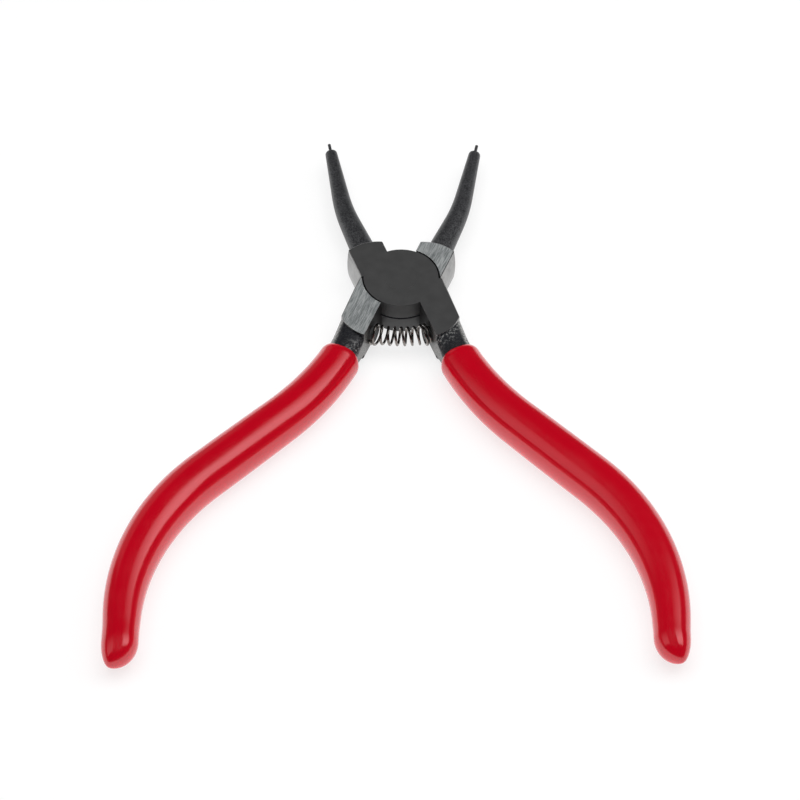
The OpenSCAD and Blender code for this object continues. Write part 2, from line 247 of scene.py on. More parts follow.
def makeBlackOxide(side):
    o = blackOxide
    edge, rubbed = o["edge"], o["specks"][side]
    mirror = 1 if side == "front" else -1
    name = "blackOxide" + side.title()
    material, tree, shader, place = newMaterial(name, o["roughness"][0], Metallic=o["metallic"])
    mottle = grain(tree, place, o["mottle"], 5)
    pits = grain(tree, place, o["pits"], 4)
    mark = mixValues(tree, mottle, pits, o["mottleShare"])
    height = addNode(tree, "ShaderNodeSeparateXYZ", {"Vector": place}).outputs["Y"]
    below = calc(tree, "LESS_THAN", height, 0)
    skin = mixColours(tree, below, tint(tree, mark, *o["jawTones"], *o["jawSpan"]),
                      tint(tree, mark, *o["tangTones"], *o["tangSpan"]))
    normal = tree.nodes.new("ShaderNodeTexCoord").outputs["Normal"]
    out = (mirror * edge["out"][0], edge["out"][1], 0)
    outwards = addNode(tree, "ShaderNodeVectorMath", {0: normal, 1: out}, operation="DOT_PRODUCT")
    # painted highlight, partly real wear: the tang's outward-facing side is made pale by its normal
    rubbedAndLitSide = ramp(tree, outwards.outputs["Value"], 0, 1, *edge["outSpan"])
    wear = ramp(tree, grain(tree, place, edge["wear"], 6), *edge["share"], *edge["wearSpan"])
    dust = ramp(tree, grain(tree, place, o["dust"], 2), 0, o["dustShare"], *o["dustSpan"])
    nearSpot = ramp(tree, planDistance(tree, place, *rubbed["spot"]), 1, 0, *inMetres(rubbed["fade"]))
    speckle = ramp(tree, grain(tree, place, o["speckle"], 6), 0, rubbed["share"], *o["speckleSpan"])
    wearAndPaintedHighlight = calc(tree, "MAXIMUM", calc(tree, "MULTIPLY", rubbedAndLitSide, wear), dust)
    wearAndPaintedHighlight = calc(tree, "MAXIMUM", wearAndPaintedHighlight, calc(tree, "MULTIPLY", nearSpot, speckle))
    fromPivot = ramp(tree, planDistance(tree, place, 0, 0), 0, 1, *inMetres(o["tangFrom"]))
    wearAndPaintedHighlight = calc(tree, "MULTIPLY", wearAndPaintedHighlight, calc(tree, "MULTIPLY", below, fromPivot))
    tree.links.new(mixColours(tree, wearAndPaintedHighlight, skin, o["bare"]), shader.inputs["Base Color"])
    tree.links.new(ramp(tree, pits, *o["roughness"]), shader.inputs["Roughness"])
    bump(tree, shader, calc(tree, "MULTIPLY_ADD", mottle, o["mottleHeight"], pits), o["pitDepth"] * mm)
    return material


darkFace = {"tones": ((0.0445, 0.0445, 0.0447), (0.0535, 0.0535, 0.0537)), "roughness": 0.5,
            "specular": 0.3, "mottle": 500, "brush": 2600, "brushStretch": (1, 14, 1), "brushTurn": 21,
            "brushDepth": 0.004}


def makeDarkFace():
    d = darkFace
    material, tree, shader, place = newMaterial("darkFace", d["roughness"])
    shader.inputs["Specular IOR Level"].default_value = d["specular"]
    mottle = grain(tree, place, d["mottle"], 4)
    tree.links.new(tint(tree, mottle, *d["tones"]), shader.inputs["Base Color"])
    brush = grain(tree, place, d["brush"], 3, d["brushStretch"], d["brushTurn"])
    bump(tree, shader, brush, d["brushDepth"] * mm)
    return material


# Brushed steel: the ground faces, turned with the lever, and the bright outer sides, crowns and edges
groundSteel = {"tones": ((0.135, 0.147, 0.15), (0.385, 0.40, 0.40)), "span": (0.38, 0.62), "cloud": 600,
               "cloudStretch": (1, 3, 1), "cloudShare": 0.25, "brush": 8200, "brushDetail": 5,
               "brushStretch": (1, 14, 1), "brushDepth": 0.01, "roughness": (0.36, 0.5), "metallic": 0.12,
               "turn": {"front": 21, "rear": -21}}
sideSteel = {"tones": ((0.165, 0.165, 0.165), (0.325, 0.325, 0.319)), "span": (0.38, 0.62), "cloud": 420,
             "cloudStretch": None, "cloudShare": 0.35, "brush": 6400, "brushDetail": 4,
             "brushStretch": (1, 1, 10), "brushDepth": 0.008, "roughness": (0.3, 0.44), "metallic": 0.7}


def makeBrushedSteel(name, steel, turn=0):
    material, tree, shader, place = newMaterial(name, steel["roughness"][0], Metallic=steel["metallic"])
    brush = grain(tree, place, steel["brush"], steel["brushDetail"], steel["brushStretch"], turn)
    cloud = grain(tree, place, steel["cloud"], 3, steel["cloudStretch"], turn)
    mark = mixValues(tree, cloud, brush, steel["cloudShare"])
    tree.links.new(tint(tree, mark, *steel["tones"], *steel["span"]), shader.inputs["Base Color"])
    tree.links.new(ramp(tree, brush, *steel["roughness"]), shader.inputs["Roughness"])
    bump(tree, shader, brush, steel["brushDepth"] * mm)
    return material


# The legs' spring faces: black beside the joint as painted shade in the recess, ground bright beyond the
# spring
flankSteelPaintedShade = {"black": (0.016, 0.016, 0.016), "bare": (0.18, 0.178, 0.172), "fade": (12.6, 15.2),
              "roughness": 0.4, "metallic": 0.4, "grain": 5200, "grainDepth": 0.012, "share": (0.15, 1.25),
              "span": (0.39, 0.61)}


def makeFlankSteelPaintedShade():
    f = flankSteelPaintedShade
    material, tree, shader, place = newMaterial("flankSteelPaintedShade", f["roughness"], Metallic=f["metallic"])
    mark = grain(tree, place, f["grain"], 4)
    # painted shade: the spring faces stay black near the pivot and turn to ground steel only beyond the
    # spring
    beyond = ramp(tree, planDistance(tree, place, 0, 0), 0, 1, *inMetres(f["fade"]))
    bare = calc(tree, "MULTIPLY", beyond, ramp(tree, mark, *f["share"], *f["span"]))
    tree.links.new(mixColours(tree, bare, f["black"], f["bare"]), shader.inputs["Base Color"])
    bump(tree, shader, mark, f["grainDepth"] * mm)
    return material


springWire = {"tones": ((0.12, 0.105, 0.095), (0.26, 0.24, 0.225)), "roughness": (0.12, 0.24),
              "metallic": 1.0, "streak": 1800}


def makeSpringWire():
    w = springWire
    material, tree, shader, place = newMaterial("springWire", w["roughness"][0], Metallic=w["metallic"])
    streak = grain(tree, place, w["streak"])
    tree.links.new(tint(tree, streak, *w["tones"]), shader.inputs["Base Color"])
    tree.links.new(ramp(tree, streak, *w["roughness"]), shader.inputs["Roughness"])
    return material


redDipFinish = makeRedDip()
faceFinish = makeDarkFace()
oxideFinishes = {side: makeBlackOxide(side) for side in ("front", "rear")}
groundFinishes = {side: makeBrushedSteel("groundSteel" + side.title(), groundSteel, turn)
                  for side, turn in groundSteel["turn"].items()}
sideFinish = makeBrushedSteel("sideSteel", sideSteel)
flankPaintedShadeFinish = makeFlankSteelPaintedShade()
wireFinish = makeSpringWire()
print("materials made")


# Paths in the plane of the pliers, in millimetres. A place is (x, y, heading), and heading 0 runs along +Y.

def placeAt(start, length, sweep, distance):
    x, y, heading = start
    if sweep == 0:
        return x + distance * math.sin(heading), y + distance * math.cos(heading), heading
    radius = length / math.radians(sweep)
    ahead = heading + distance / radius
    return (x + radius * (math.cos(heading) - math.cos(ahead)),
            y + radius * (math.sin(ahead) - math.sin(heading)), ahead)


def alongPath(start, moves, distance):
    for length, sweep in moves[:-1]:
        if distance <= length:
            return placeAt(start, length, sweep, distance)
        start = placeAt(start, length, sweep, length)
        distance -= length
    return placeAt(start, *moves[-1], distance)


def arcLength(radius, sweep):
    return radius * math.radians(abs(sweep))


def spaced(a, b, step):
    count = math.ceil((b - a) / step)
    return [a + (b - a) * i / count for i in range(count + 1)]


def ease(k):
    return (1 - math.cos(math.pi * min(max(k, 0), 1))) / 2


# Swept bars: jaws, tangs and grips. Each point of a path gets a ring with its own width and thickness.

def makeSweptBarTree():
    tree, given = geometryTree("sweptBar", [
        ("Path", "NodeSocketGeometry"), ("Points around", "NodeSocketInt"), ("Weld", "NodeSocketFloat"),
        ("Finish", "NodeSocketMaterial")])
    op = partial(calc, tree)

    def sampled(value, kind):
        return addNode(tree, "GeometryNodeSampleIndex", {
            "Geometry": given["Path"], "Value": value, "Index": ring}, data_type=kind).outputs[0]

    def stored(label, kind):
        named = addNode(tree, "GeometryNodeInputNamedAttribute", {"Name": label}, data_type=kind)
        return sampled(named.outputs[0], kind)

    def squared(value):
        return op("MULTIPLY", op("SIGN", value), op("POWER", op("ABSOLUTE", value), square))

    count = addNode(tree, "GeometryNodeAttributeDomainSize", {"Geometry": given["Path"]}, component="MESH")
    row = op("ADD", given["Points around"], 1)
    grid = addNode(tree, "GeometryNodeMeshGrid", {
        "Vertices X": count.outputs["Point Count"], "Vertices Y": row})
    index = tree.nodes.new("GeometryNodeInputIndex").outputs[0]
    ring = op("FLOOR", op("DIVIDE", op("ADD", index, 0.5), row))
    side = op("SUBTRACT", index, op("MULTIPLY", ring, row))
    angle = op("MULTIPLY", side, op("DIVIDE", math.tau, given["Points around"]))
    square = stored("square", "FLOAT")
    wide = op("MULTIPLY", squared(op("COSINE", angle)), stored("wide", "FLOAT"))
    thick = op("MULTIPLY", squared(op("SINE", angle)), stored("thick", "FLOAT"))
    across = addNode(tree, "ShaderNodeVectorMath", {0: stored("across", "FLOAT_VECTOR"), "Scale": wide},
                     operation="SCALE")
    up = addNode(tree, "ShaderNodeCombineXYZ", {"Z": thick})
    offset = addNode(tree, "ShaderNodeVectorMath", {0: across.outputs[0], 1: up.outputs[0]},
                     operation="ADD")
    centre = sampled(tree.nodes.new("GeometryNodeInputPosition").outputs[0], "FLOAT_VECTOR")
    spot = addNode(tree, "ShaderNodeVectorMath", {0: centre, 1: offset.outputs[0]}, operation="ADD")
    shaped = addNode(tree, "GeometryNodeSetPosition", {
        "Geometry": grid.outputs["Mesh"], "Position": spot.outputs[0]})
    welded = addNode(tree, "GeometryNodeMergeByDistance", {
        "Geometry": shaped.outputs[0], "Distance": given["Weld"]})
    endTree(tree, welded.outputs[0], given["Finish"])
    return tree


sweptBarTree = makeSweptBarTree()


# rings: (centre x, centre y, across x, across y, half width, half thickness, squareness)
def sweepBar(name, rings, sides, finish):
    xs, ys, acrossX, acrossY, wide, thick, square = zip(*rings)
    mesh = bpy.data.meshes.new(name)
    centres = [(x * mm, y * mm, 0) for x, y in zip(xs, ys)]
    mesh.from_pydata(centres, [(i, i + 1) for i in range(len(rings) - 1)], [])
    for label, values in (("wide", inMetres(wide)), ("thick", inMetres(thick)), ("square", list(square))):
        mesh.attributes.new(label, "FLOAT", "POINT").data.foreach_set("value", values)
    across = [part for pair in zip(acrossX, acrossY) for part in (*pair, 0)]
    mesh.attributes.new("across", "FLOAT_VECTOR", "POINT").data.foreach_set("vector", across)
    obj = newObject(name, mesh)
    runTree(obj, sweptBarTree, {"Points around": sides, "Weld": seam / 2, "Finish": finish})
    closeUp(obj.data)
    return obj


# Joint blocks: shoulder, lap disc and leg of one lever, closed, with z = 0 in the lap plane

joint = {"halfThickness": 3.75, "discRadius": 7.1, "lapGap": 0.25, "faceGap": 0.1, "openAngle": 21,
         "stopGap": 0.3, "shoulderWidth": 7.35, "shoulderSideRadius": 18, "shoulderTop": 10.6,
         "crownRadius": 8, "closingRelief": 0.15, "legInside": 1.15, "legOutside": 7.45, "legTaper": 2.5,
         "legEnd": 15.8, "legEndRadius": 7.2, "legInRound": 1.3, "backStart": 0.2, "rivetRadius": 2.2,
         "rivetHeadRadius": 3.0, "rivetHead": 1.1, "rivetGap": 0.012, "pegRadius": 0.9, "pegDepth": 2.8,
         "springAt": 12.2, "tipShank": 0.5, "tipSeat": 4, "fitGap": 0.01, "arcStep": 2, "meetRounds": 40,
         "rivetSides": 128, "holeSides": 32, "leverCrease": 32, "rivetCrease": 30, "flatFrom": 0.9999}


def arc(cx, cy, radius, start, end):
    count = max(2, math.ceil(abs(end - start) / joint["arcStep"]))
    angles = [math.radians(start + (end - start) * i / count) for i in range(count + 1)]
    return [(cx + radius * math.cos(a), cy + radius * math.sin(a)) for a in angles]


def polar(x, y):
    return math.degrees(math.atan2(y, x))


# A point on the stop line, beside it by offset, at a distance from the pivot
def onStop(offset, radius, side):
    lean = math.radians(joint["openAngle"])
    run = side * math.sqrt(radius ** 2 - offset ** 2)
    return run * math.cos(lean) + offset * math.sin(lean), -run * math.sin(lean) + offset * math.cos(lean)


def stopAtX(offset, x):
    lean = math.radians(joint["openAngle"])
    return x, (offset - x * math.sin(lean)) / math.cos(lean)


# Numbers of the finishes in a lever's slots
face, ground, oxide, bright, flank = range(5)


# Outlines of the shoulder and of the leg, from the lap disc round to it again, with a finish for each wall.
# The other disc's pocket begins at the second point and ends at the last but one.
def shoulderSide():
    j = joint
    inner, outer, half = -j["closingRelief"], -j["shoulderWidth"], j["stopGap"] / 2
    disc, pocket = j["discRadius"], j["discRadius"] + j["lapGap"]
    cx, cy = -j["shoulderWidth"] / 2, j["shoulderTop"] - j["crownRadius"]
    rise = [math.sqrt(j["crownRadius"] ** 2 - (x - cx) ** 2) for x in (inner, outer)]
    crown = arc(cx, cy, j["crownRadius"], polar(inner - cx, rise[0]), polar(outer - cx, rise[1]))
    points = [*[(inner, math.sqrt(r ** 2 - inner ** 2)) for r in (disc, pocket)], *crown,
              stopAtX(half, outer), *[onStop(half, r, -1) for r in (pocket, disc)]]
    return points, [ground, ground] + [bright] * len(crown) + [oxide, oxide]


def legSide():
    j = joint
    inner, half = j["legInside"], -j["stopGap"] / 2
    disc, pocket = j["discRadius"], j["discRadius"] + j["lapGap"]
    slope = math.tan(math.radians(j["legTaper"]))
    cy = j["legEndRadius"] - j["legEnd"]
    y = cy
    for _ in range(j["meetRounds"]):  # where the end's arc meets the tapered outer face
        x = j["legOutside"] + y * slope
        y = cy - math.sqrt(j["legEndRadius"] ** 2 - (x - inner) ** 2)
    end = arc(inner, cy, j["legEndRadius"], -90, polar(x - inner, y - cy))
    top = stopAtX(half, j["legOutside"])
    top = stopAtX(half, j["legOutside"] + top[1] * slope)
    points = [*[(inner, -math.sqrt(r ** 2 - inner ** 2)) for r in (disc, pocket)], *end, top,
              *[onStop(half, r, 1) for r in (pocket, disc)]]
    return points, [flank, flank] + [oxide] * (len(end) - 1) + [bright, oxide, oxide]


# Points between two others on a circle around the pivot, the way that the angle grows
def roundPivot(a, b):
    first, last = polar(*a), polar(*b)
    return arc(0, 0, math.hypot(*a), first, last if last > first else last + 360)[1:-1]


# Shoulder, lap disc and leg as one closed mesh: the disc's layer above, and the other disc's pockets below
def jointBlock(name, slots):
    j = joint
    half, lap = j["halfThickness"], j["faceGap"] / 2
    work = bmesh.new()
    made = {}

    def corner(point, z):
        key = (round(point[0], 5), round(point[1], 5), z)
        if key not in made:
            made[key] = work.verts.new((point[0] * mm, point[1] * mm, z * mm))
        return made[key]

    def facet(corners, finish):
        work.faces.new([corner(*c) for c in corners]).material_index = finish

    def wall(a, b, low, high, finish):
        facet([(a, low), (b, low), (b, high), (a, high)], finish)

    sides = [shoulderSide(), legSide()]
    outline, lapFace = [], []
    for (points, walls), (following, _) in zip(sides, sides[::-1]):
        bridge = [points[-1], *roundPivot(points[-1], following[0]), following[0]]
        pocket = [points[1], *roundPivot(points[1], points[-2]), points[-2]]
        outline += points[:-1] + bridge[:-1]
        lapFace += [points[0]] + pocket + bridge[:-1]
        facet([(p, -half) for p in points[1:-1] + pocket[-2:0:-1]][::-1], ground)
        for a, b in zip(bridge, bridge[1:]):
            wall(a, b, lap, half, face)
        for a, b in zip(pocket, pocket[1:]):
            wall(b, a, -half, lap, oxide)
        last = len(points) - 2
        for i, finish in enumerate(walls):
            a, b = points[i], points[i + 1]
            low = lap if i in (0, last) else -half
            split = [(a, lap)] if i == 1 else []
            far = [(b, lap)] if i == last - 1 else []
            facet([(a, low), (b, low), *far, (b, half), (a, half), *split], finish)
    facet([(p, half) for p in outline], face)
    facet([(p, lap) for p in lapFace][::-1], oxide)
    return meshFrom(work, name, *slots)


# A prism in one of the lever's finishes
def prismObject(name, outline, low, high, finish, slots):
    work = bmesh.new()
    bottom = [work.verts.new((x * mm, y * mm, low * mm)) for x, y in outline]
    top = [work.verts.new((x * mm, y * mm, high * mm)) for x, y in outline]
    work.faces.new(top)
    work.faces.new(bottom[::-1])
    count = len(outline)
    for i in range(count):
        k = (i + 1) % count
        work.faces.new((bottom[i], bottom[k], top[k], top[i]))
    for facet in work.faces:
        facet.material_index = finish
    return meshFrom(work, name, *slots)


# How far cutting shapes reach past what they cut, and how finely they are stepped
cut = {"over": 0.5, "room": 1, "sideSteps": 24, "footDrop": 0.4, "backTurn": (2, 88), "backSteps": 16,
       "backPast": 5, "flankInset": 0.004}


# What the convex outer side of the shoulder leaves free, as a bar along Y
def sideCutter(slots):
    j, room = joint, cut["room"]
    half, radius, width = j["halfThickness"] + cut["over"], j["shoulderSideRadius"], j["shoulderWidth"]
    heights = [half * (2 * i / cut["sideSteps"] - 1) for i in range(cut["sideSteps"] + 1)]
    curve = [(radius - width - math.sqrt(radius ** 2 - z ** 2), z) for z in heights]
    outline = curve + [(-width - room, half), (-width - room, -half)]
    foot = stopAtX(0, -width)[1] - cut["footDrop"]
    bar = prismObject("sideCutter", outline, -j["shoulderTop"] - room, -foot, bright, slots)
    bar.data.transform(Matrix.Rotation(math.pi / 2, 4, "X"))
    return bar


# What the rounding of the leg's spring face leaves free at the pliers' back, as a bar along Y
def backCutter(side, slots):
    j = joint
    back = -1 if side == "front" else 1
    inner, radius, level = j["legInside"], j["legInRound"], back * j["halfThickness"]
    (first, last), count = cut["backTurn"], cut["backSteps"]  # a little short of both faces
    turns = [math.radians(first + (last - first) * i / count) for i in range(count + 1)]
    curve = [(inner + radius * (1 - math.cos(a)), level - back * radius * (1 - math.sin(a))) for a in turns]
    beyond, aside = level + back * cut["room"], inner - cut["room"]
    outline = curve + [(curve[-1][0], beyond), (aside, beyond), (aside, curve[0][1])]
    top = j["discRadius"] + j["backStart"]  # below the disc, which keeps its full edge
    bar = prismObject(side + "BackCutter", outline, top, j["legEnd"] + cut["backPast"], flank, slots)
    bar.data.transform(Matrix.Rotation(math.pi / 2, 4, "X"))
    return bar


# Edge breaks. The leg's outer edges are rounder, and the disc's lap edge is dark. Bands lie inside the
# outline: faces that slope there are bright, but for a dark line at the shoulder's ground side.
edgeBreak = {"near": 0.01, "leg": 0.32, "lap": 0.2, "steps": 4, "turn": 60, "legShortest": 2, "rest": 0.11,
             "restSteps": 2, "restTurn": 30, "restShortest": 0.18, "legBelow": -2, "legEdgeBand": 0.8,
             "legBand": 1, "shoulderBand": 0.9, "crownFrom": 1, "slope": (0.1, 0.97), "darkSlope": -0.3}


def softenEdges(obj):
    j, e = joint, edgeBreak
    near = e["near"] * mm
    work = bmesh.new()
    work.from_mesh(obj.data)

    def atLegSide(edge):
        first, last = [v.co for v in edge.verts]
        beside = min(first.x, last.x) > (j["legOutside"] - e["legEdgeBand"]) * mm
        level = abs(first.z - last.z) < near and edge.calc_length() > e["legShortest"] * mm
        return beside and level and max(first.y, last.y) < e["legBelow"] * mm

    def inLapPlane(edge):
        return all(abs(v.co.z - j["faceGap"] / 2 * mm) < near for v in edge.verts)

    def atLap(edge):
        onDisc = all(abs(v.co.xy.length - j["discRadius"] * mm) < near for v in edge.verts)
        return onDisc and inLapPlane(edge)

    def elsewhere(edge):
        return not inLapPlane(edge) and edge.calc_length() > e["restShortest"] * mm

    def soften(wanted, offset, steps, turn):
        least = math.radians(turn)
        chosen = [edge for edge in work.edges
                  if edge.is_convex and edge.calc_face_angle() > least and wanted(edge)]
        return bmesh.ops.bevel(work, geom=chosen, offset=offset * mm, segments=steps, profile=0.5,
                               affect="EDGES", clamp_overlap=False, material=-1)["faces"]

    soften(atLegSide, e["leg"], e["steps"], e["turn"])
    for facet in soften(atLap, e["lap"], e["steps"], e["turn"]):
        facet.material_index = oxide
    soften(elsewhere, e["rest"], e["restSteps"], e["restTurn"])
    for facet in work.faces:
        x, y, _ = facet.calc_center_median() / mm
        atShoulder = x < -j["shoulderWidth"] + e["shoulderBand"]
        atCrown = y > j["discRadius"] + e["crownFrom"]
        atLeg = x > j["legOutside"] - e["legBand"] and y < e["legBelow"]
        sloping = e["slope"][0] < abs(facet.normal.z) < e["slope"][1]
        beyondLap = math.hypot(x, y) > j["discRadius"] + j["lapGap"]
        if (atShoulder or atCrown or atLeg) and sloping and beyondLap:
            darkLine = atShoulder and max(facet.normal.z, facet.normal.x) < e["darkSlope"]
            facet.material_index = oxide if darkLine else bright
    tidyMesh(work)
    work.to_mesh(obj.data)
    work.free()


def tidyMesh(work):
    bmesh.ops.remove_doubles(work, verts=work.verts, dist=seam)
    bmesh.ops.dissolve_degenerate(work, edges=work.edges, dist=seam)


def lathe(work, profile, matrix, sides):
    turns = [math.tau * i / sides for i in range(sides)]
    rings = []
    for radius, z in profile:
        if radius == 0:
            spots = [Vector((0, 0, z * mm))]
        else:
            spots = [Vector((radius * mm * math.cos(a), radius * mm * math.sin(a), z * mm)) for a in turns]
        rings.append([work.verts.new(matrix @ spot) for spot in spots])
    for a, b in zip(rings, rings[1:]):
        for i in range(sides):
            k = (i + 1) % sides
            loop = [a[i % len(a)], a[k % len(a)], b[k % len(b)], b[i % len(b)]]
            work.faces.new(list(dict.fromkeys(loop)))


def combine(target, other, operation):
    modifier = target.modifiers.new(operation.lower(), "BOOLEAN")
    modifier.operation = operation
    modifier.object = other
    modifier.solver = "EXACT"
    modifier.material_mode = "TRANSFER"
    settle(target)
    bpy.data.objects.remove(other)


# Jaw and tang, in the closed lever's frame

jaw = {"offset": 3.25, "rootDiameter": 5.2, "tipDiameter": 2.3, "bendStart": 19.3, "bendRadius": 40,
       "bend": 10.6, "nose": 12, "tipRound": 0.35, "sides": 56, "step": 0.8, "tipRings": 6}


def jawPath():
    start = joint["discRadius"] + joint["lapGap"] + joint["closingRelief"]
    moves = [(jaw["bendStart"] - start, 0), (arcLength(jaw["bendRadius"], jaw["bend"]), jaw["bend"]),
             (jaw["nose"], 0)]
    return (-jaw["offset"], start, 0), moves, sum(m[0] for m in moves)


def jawRings():
    start, moves, length = jawPath()
    root, tip, rounding = jaw["rootDiameter"] / 2, jaw["tipDiameter"] / 2, jaw["tipRound"]
    steps = [(s, root + (tip - root) * s / length) for s in spaced(0, length - rounding, jaw["step"])]
    for i in range(1, jaw["tipRings"] + 1):
        a = math.pi / 2 * i / jaw["tipRings"]
        steps.append((length - rounding * (1 - math.sin(a)), tip - rounding * (1 - math.cos(a))))
    rings = []
    for s, r in [(0, 0), *steps, (length, 0)]:
        x, y, heading = alongPath(start, moves, s)
        rings.append((x, y, math.cos(heading), -math.sin(heading), r, r, 1))
    return rings


handle = {"offset": 4, "rootWidth": 6.3, "step": 0.25, "bendStart": 15.4, "outRadius": 54, "outBend": 24.5,
          "run": 18.6, "inRadius": 44, "inBend": 45.5, "tail": 8.2, "rootSquare": 0.5, "square": 0.72,
          "rootSunk": 0.33, "rootBlend": 1.2, "rootPitch": 0.2, "sides": 56, "pitch": 1.0, "noseRings": 14}
grip = {"rimAt": 8, "bellyAt": 45.5, "rimDiameter": 7.9, "rimRound": 1.6, "bellyDiameter": 8.9,
        "tailDiameter": 6.6, "coat": 0.95, "endCoat": {"left": 2.8, "right": 0.8}, "noseLength": 5.2,
        "noseLean": 1.4, "coatGap": 0.03, "noseTrim": 0.06, "square": 0.94, "sides": 72, "rimRings": 9,
        "inset": 0.02}

handleStart = (handle["offset"], handle["bendStart"] - grip["rimAt"] / 2, 0)
handleMoves = [(grip["rimAt"] / 2, 0),
               (arcLength(handle["outRadius"], handle["outBend"]), handle["outBend"]), (handle["run"], 0),
               (arcLength(handle["inRadius"], handle["inBend"]), -handle["inBend"]), (handle["tail"], 0)]
tangLength = sum(m[0] for m in handleMoves)


def gripRadius(s):
    rising = s < grip["bellyAt"]
    end = grip["rimAt"] if rising else tangLength - grip["noseLength"]
    endDiameter = grip["rimDiameter"] if rising else grip["tailDiameter"]
    k = min(1, (grip["bellyAt"] - s) / (grip["bellyAt"] - end))
    return (endDiameter + (grip["bellyDiameter"] - endDiameter) * math.cos(math.pi / 2 * k)) / 2


# Half width and half thickness of the tang
def tangHalves(s):
    roots = handle["rootWidth"] / 2, joint["halfThickness"] - handle["step"]
    return [root + (gripRadius(s) - grip["coat"] - root) * ease(s / grip["rimAt"]) for root in roots]


def tangSquare(s):
    return handle["rootSquare"] + (handle["square"] - handle["rootSquare"]) * ease(s / grip["rimAt"])


# Places along a handle: (distance, share of the section, lean), with a rounded end
def handlePlaces(begin, end, noseLength):
    places = [(s, 1, 0) for s in spaced(begin, end - noseLength, handle["pitch"])]
    for i in range(1, handle["noseRings"] + 1):
        a = math.pi / 2 * i / handle["noseRings"]
        lean = grip["noseLean"] * (1 - math.cos(a))
        places.append((end - noseLength * (1 - math.sin(a)), math.cos(a), lean))
    return places


# A ring across the handle, which runs along -Y
def handleRing(s, wide, thick, square, lean=0):
    x, y, heading = alongPath(handleStart, handleMoves, s)
    ax, ay = math.cos(heading), math.sin(heading)
    return x + lean * ax, -y + lean * ay, ax, ay, wide, thick, square


def tangRings(begin, gap):
    rings = []
    for s, share, lean in handlePlaces(begin, tangLength + gap, grip["noseLength"] - grip["coat"]):
        wide, thick = [(half + gap) * share for half in tangHalves(s)]
        rings.append(handleRing(s, wide, thick, tangSquare(s), lean))
    return rings


# The tang's first rings, which grow out of the leg's outer side
def tangRoot():
    rings = [handleRing(0, 0, 0, tangSquare(0))]
    for s in spaced(0, handle["rootBlend"], handle["rootPitch"])[:-1]:
        sunk = handle["rootSunk"] * (1 - ease(s / handle["rootBlend"]))
        wide, thick = tangHalves(s)
        rings.append(handleRing(s, wide - sunk, thick, tangSquare(s)))
    return rings


def gripRings(endCoat):
    inner = tangRings(grip["rimAt"], grip["coatGap"])
    rimWide, rimThick = inner[0][4:6]
    begin = grip["rimAt"] + grip["rimRound"]
    full = gripRadius(begin)
    rim = []
    for i in range(1, grip["rimRings"]):
        a = math.pi / 2 * i / grip["rimRings"]
        k = math.sin(a)
        rim.append(handleRing(begin - grip["rimRound"] * math.cos(a), rimWide + (full - rimWide) * k,
                              rimThick + (full - rimThick) * k,
                              handle["square"] + (grip["square"] - handle["square"]) * k))
    outer = []
    end = tangLength + endCoat - grip["noseTrim"]
    for s, share, lean in handlePlaces(begin, end, grip["noseLength"]):
        r = (gripRadius(s) - grip["inset"]) * share
        outer.append(handleRing(s, r, r, grip["square"], lean))
    return inner[::-1] + rim + outer


# Where a half stands at rest. The rear half is the front half turned over.
def placeHalf(side):
    swing = Matrix.Rotation(math.radians(joint["openAngle"]), 4, "Z")
    lift = Matrix.Translation((0, 0, joint["halfThickness"] * mm))
    return lift @ swing if side == "front" else lift @ Matrix.Rotation(math.pi, 4, "Y") @ swing


def makeLever(side):
    j = joint
    slots = [faceFinish, groundFinishes[side], oxideFinishes[side], sideFinish, flankPaintedShadeFinish]
    half = j["halfThickness"]
    lever = jointBlock(side + "Lever", slots)
    combine(lever, sideCutter(slots), "DIFFERENCE")
    softenEdges(lever)
    combine(lever, sweepBar(side + "Jaw", jawRings(), jaw["sides"], oxideFinishes[side]), "UNION")
    tang = sweepBar(side + "Tang", [*tangRoot(), *tangRings(handle["rootBlend"], 0)], handle["sides"],
                    oxideFinishes[side])
    inner, outer = j["legInside"] + cut["flankInset"], j["legInside"] - handle["rootWidth"]
    low = -j["legEnd"] - grip["rimAt"]
    cutter = prismObject(side + "Flank", [(outer, low), (inner, low), (inner, 0), (outer, 0)],
                         -2 * half, 2 * half, flank, slots)
    combine(tang, cutter, "DIFFERENCE")
    combine(lever, tang, "UNION")
    combine(lever, backCutter(side, slots), "DIFFERENCE")
    combine(lever, makeDrills(side), "DIFFERENCE")
    finishLever(lever, side)
    return lever


# Half section of the rivet, or of its hole, which is wider by gap and reaches past the faces by over
def rivetProfile(gap, over):
    j = joint
    half, shank, head = j["halfThickness"], j["rivetRadius"] + gap, j["rivetHeadRadius"] + gap
    rim = head + (head - shank) / j["rivetHead"] * over
    return [(0, -half - over), (rim, -half - over), (shank, -half + j["rivetHead"]),
            (shank, half - j["rivetHead"]), (rim, half + over), (0, half + over)]


# Cutting shapes for the rivet, the peg and the tip pin
def makeDrills(side):
    j, over = joint, cut["over"]
    work = bmesh.new()
    lathe(work, rivetProfile(j["rivetGap"], over), Matrix.Identity(4), j["rivetSides"])

    def drill(radius, depth, place):
        hole = radius + j["fitGap"]
        lathe(work, [(0, -depth), (hole, -depth), (hole, over), (0, over)], place, j["holeSides"])

    seat = Matrix.Translation((j["legInside"] * mm, -j["springAt"] * mm, 0))
    drill(j["pegRadius"], j["pegDepth"], seat @ Matrix.Rotation(-math.pi / 2, 4, "Y"))
    start, moves, length = jawPath()
    x, y, heading = alongPath(start, moves, length)
    tip = Matrix.Translation((x * mm, y * mm, 0)) @ Matrix.Rotation(-heading, 4, "Z")
    drill(j["tipShank"], j["tipSeat"], tip @ Matrix.Rotation(-math.pi / 2, 4, "X"))
    return meshFrom(work, side + "Drills", faceFinish)


